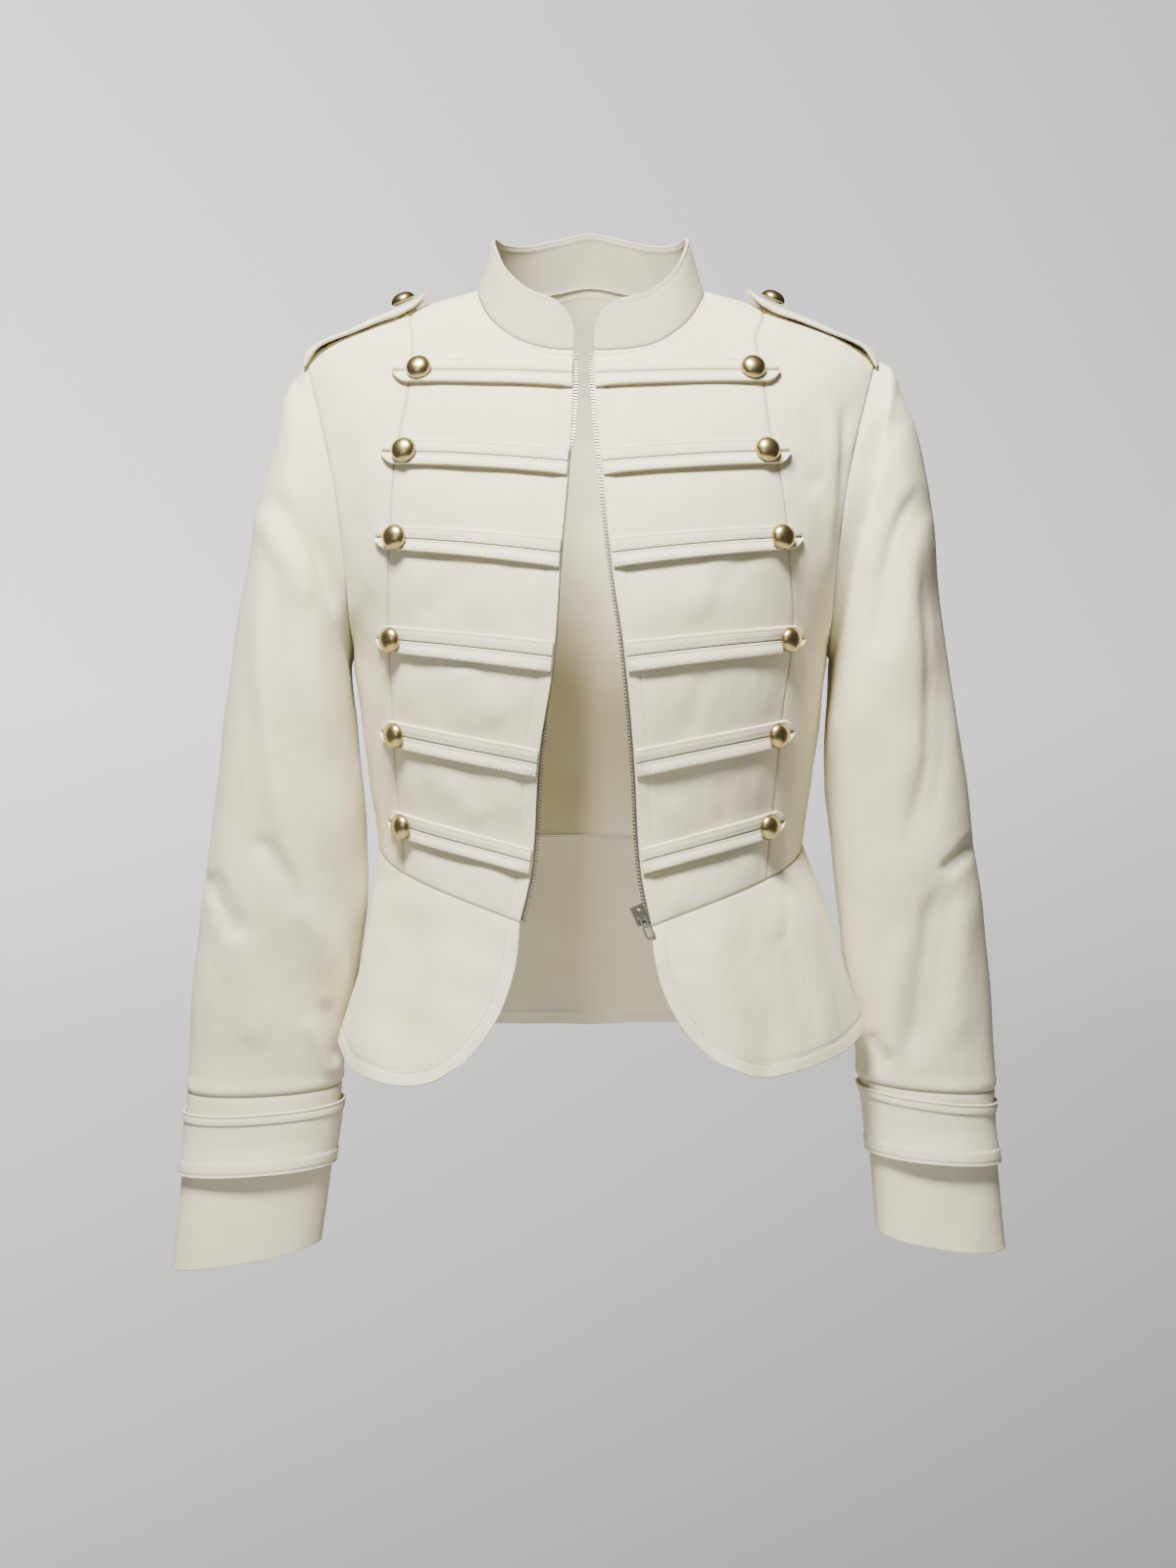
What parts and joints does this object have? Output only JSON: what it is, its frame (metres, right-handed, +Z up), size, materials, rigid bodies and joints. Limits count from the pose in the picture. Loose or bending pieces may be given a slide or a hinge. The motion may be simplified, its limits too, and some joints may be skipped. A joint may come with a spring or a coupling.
{
  "type": "cropped band jacket",
  "caption": "Cropped ecru twill jacket with a stand collar, buttoned tabs across the open front, a short flared peplum, shoulder straps and banded cuffs.",
  "frame": {"origin": "midway between the two neck ends of the shoulder seams, where the wearer's shoulders hold the jacket up", "axes": "+Z up the body, +X to the wearer's left, -Y out of the open front"},
  "size_m": [0.5705, 0.2537, 0.7171],
  "materials": {
    "twill": "matt",
    "twill_collar": "matt",
    "twill_trim": "matt",
    "zip_tape": "matt",
    "satin_brass": "satin",
    "zip_metal": "satin"
  },
  "bodies": {
    "jacket": {"front_left": "twill", "side_front_left": "twill", "side_back_left": "twill", "peplum_front_left": "twill", "sleeve_left": "twill", "under_sleeve_left": "twill", "cuff_left": "twill", "front_right": "twill", "side_front_right": "twill", "side_back_right": "twill", "peplum_front_right": "twill", "sleeve_right": "twill", "under_sleeve_right": "twill", "cuff_right": "twill", "back": "twill", "peplum_back": "twill", "collar": "twill_collar", "cuff_band_left": "twill_trim", "shoulder_strap_left": "twill_trim", "zip_tape_left": "zip_tape", "tab_left_1": "twill_trim", "button_left_1": "satin_brass", "tab_left_2": "twill_trim", "button_left_2": "satin_brass", "tab_left_3": "twill_trim", "button_left_3": "satin_brass", "tab_left_4": "twill_trim", "button_left_4": "satin_brass", "tab_left_5": "twill_trim", "button_left_5": "satin_brass", "tab_left_6": "twill_trim", "button_left_6": "satin_brass", "strap_button_left": "satin_brass", "cuff_band_right": "twill_trim", "shoulder_strap_right": "twill_trim", "zip_tape_right": "zip_tape", "tab_right_1": "twill_trim", "button_right_1": "satin_brass", "tab_right_2": "twill_trim", "button_right_2": "satin_brass", "tab_right_3": "twill_trim", "button_right_3": "satin_brass", "tab_right_4": "twill_trim", "button_right_4": "satin_brass", "tab_right_5": "twill_trim", "button_right_5": "satin_brass", "tab_right_6": "twill_trim", "button_right_6": "satin_brass", "strap_button_right": "satin_brass", "zip_slider": "zip_metal"},
    "zip_pull": {"zip_pull": "zip_metal"}
  },
  "joints": [
    {"name": "pull_swing", "type": "hinge", "parent": "jacket", "child": "zip_pull", "pos_m": [0.03321, -0.11053, -0.42396], "axis": [-0.9019, -0.1489, -0.4054], "range_deg": [0, 100]}
  ]
}
